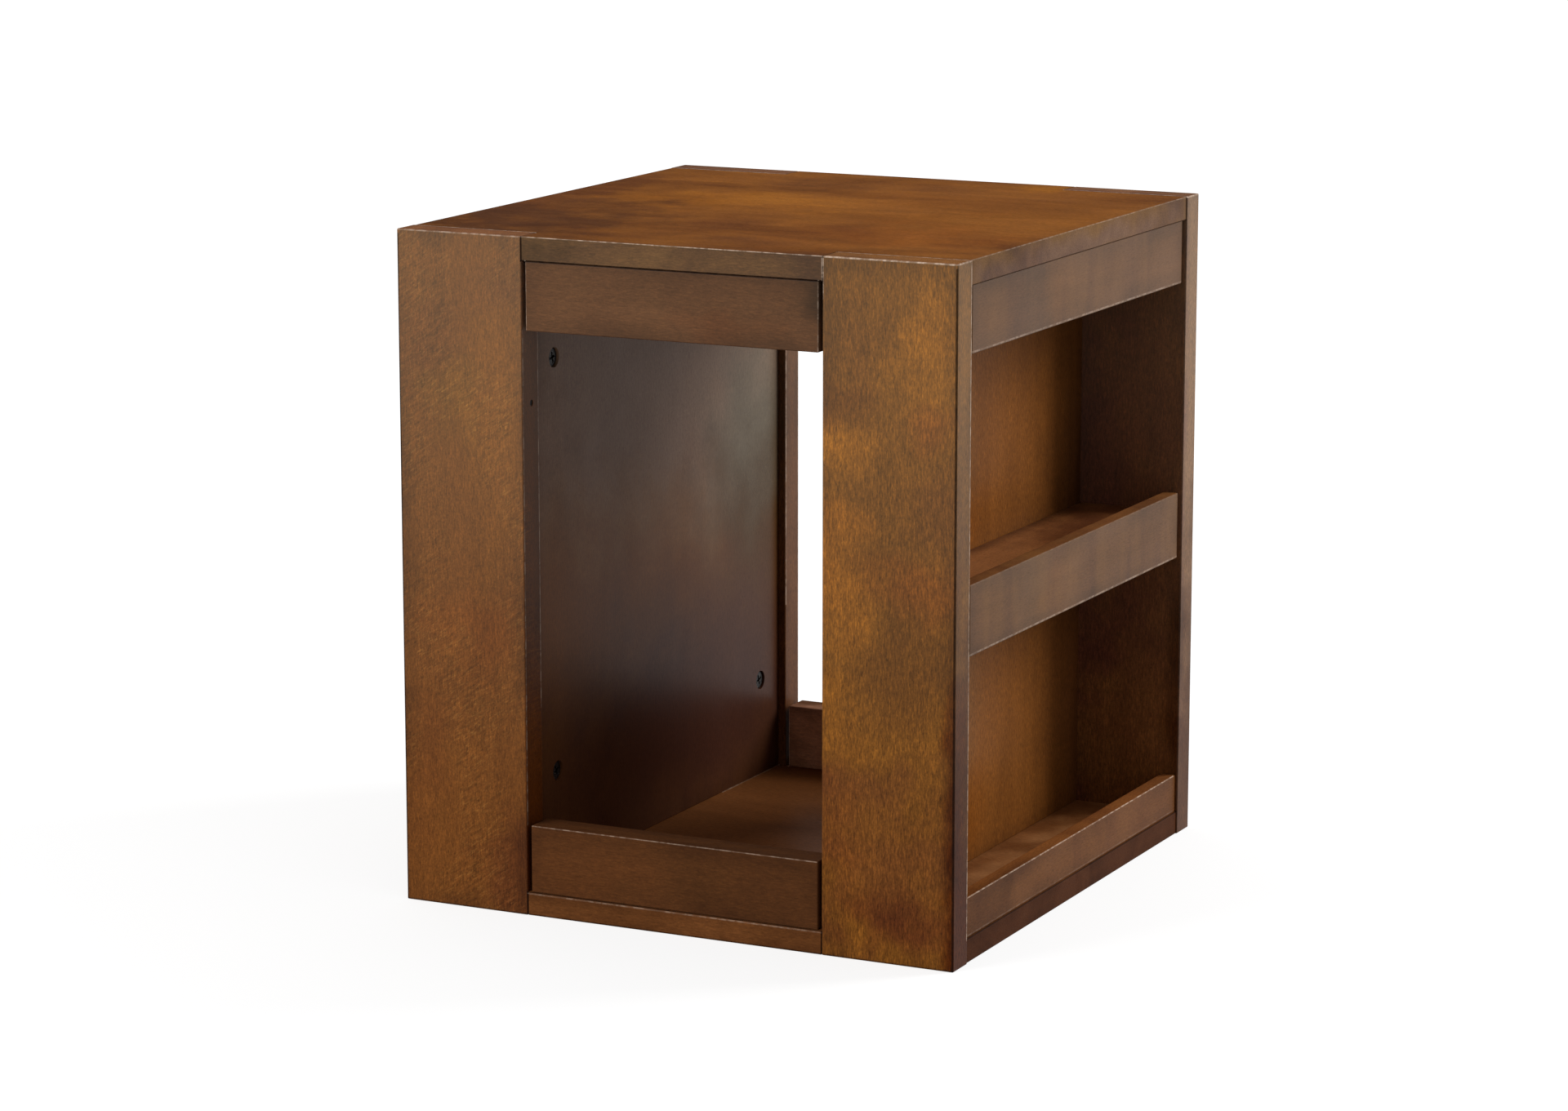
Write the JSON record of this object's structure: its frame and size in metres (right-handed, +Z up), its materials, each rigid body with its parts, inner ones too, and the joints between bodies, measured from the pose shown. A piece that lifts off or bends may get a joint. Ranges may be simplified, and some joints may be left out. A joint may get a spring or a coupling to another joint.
{
  "type": "side table",
  "caption": "Square wooden side table with an open tunnel front to rear, open shelves on the right side and a hinged cupboard door on the left side.",
  "frame": {"origin": "middle of the footprint of the four posts, on the floor", "axes": "+Z up, +X to the right side (the open shelves), -X to the left side (the door), -Y to the front"},
  "size_m": [0.472, 0.46, 0.508],
  "materials": {
    "walnut_veneer": "satin lacquer over walnut-stained veneer",
    "walnut_board": "satin lacquer over walnut-stained board",
    "dowel_beech": "raw beech",
    "cam_zinc": "cast zinc",
    "bolt_steel": "zinc plated",
    "bronze": "dark bronze",
    "catch_plastic": "brown moulded",
    "magnet": "sintered ferrite"
  },
  "bodies": {
    "cabinet": {"tabletop": "walnut_veneer", "base_panel": "walnut_veneer", "post_front_left": "walnut_board", "post_front_right": "walnut_board", "post_rear_left": "walnut_board", "post_rear_right": "walnut_board", "apron_front": "walnut_board", "apron_rear": "walnut_board", "bottom_rail_front": "walnut_board", "bottom_rail_rear": "walnut_board", "apron_left": "walnut_board", "apron_right": "walnut_board", "shelf_lip_right": "walnut_board", "bottom_lip_right": "walnut_board", "wall_left": "walnut_board", "wall_right": "walnut_board", "shelf_right": "walnut_board", "shelf_left": "walnut_board", "dowels_tabletop": "dowel_beech", "dowels_base": "dowel_beech", "dowels_rails": "dowel_beech", "dowels_side_aprons": "dowel_beech", "dowels_bottom_lip": "dowel_beech", "dowels_walls": "dowel_beech", "dowels_shelf_right": "dowel_beech", "dowels_shelf_lip": "dowel_beech", "dowels_shelf_left": "dowel_beech", "cam_locks_left": "cam_zinc", "cam_locks_right": "cam_zinc", "cam_bolts_left": "bolt_steel", "cam_bolts_right": "bolt_steel", "edge_pin": "bolt_steel", "hinge_lower_frame_leaf": "bronze", "hinge_lower_pin": "bronze", "hinge_upper_frame_leaf": "bronze", "hinge_upper_pin": "bronze", "hinge_frame_screws": "bronze", "catch_housing": "catch_plastic", "catch_poles": "bolt_steel", "catch_magnet": "magnet", "catch_screws": "bolt_steel"},
    "door": {"door": "walnut_board", "door_knob": "bronze", "knob_screw": "bolt_steel", "hinge_lower_door_leaf": "bronze", "hinge_upper_door_leaf": "bronze", "hinge_door_screws": "bronze", "strike_plate": "bolt_steel", "strike_screw": "bolt_steel"}
  },
  "joints": [
    {"name": "door_hinge", "type": "hinge", "parent": "cabinet", "child": "door", "pos_m": [-0.2279, 0.20365, 0.2295], "axis": [0, 0, -1], "range_deg": [0, 180]}
  ]
}
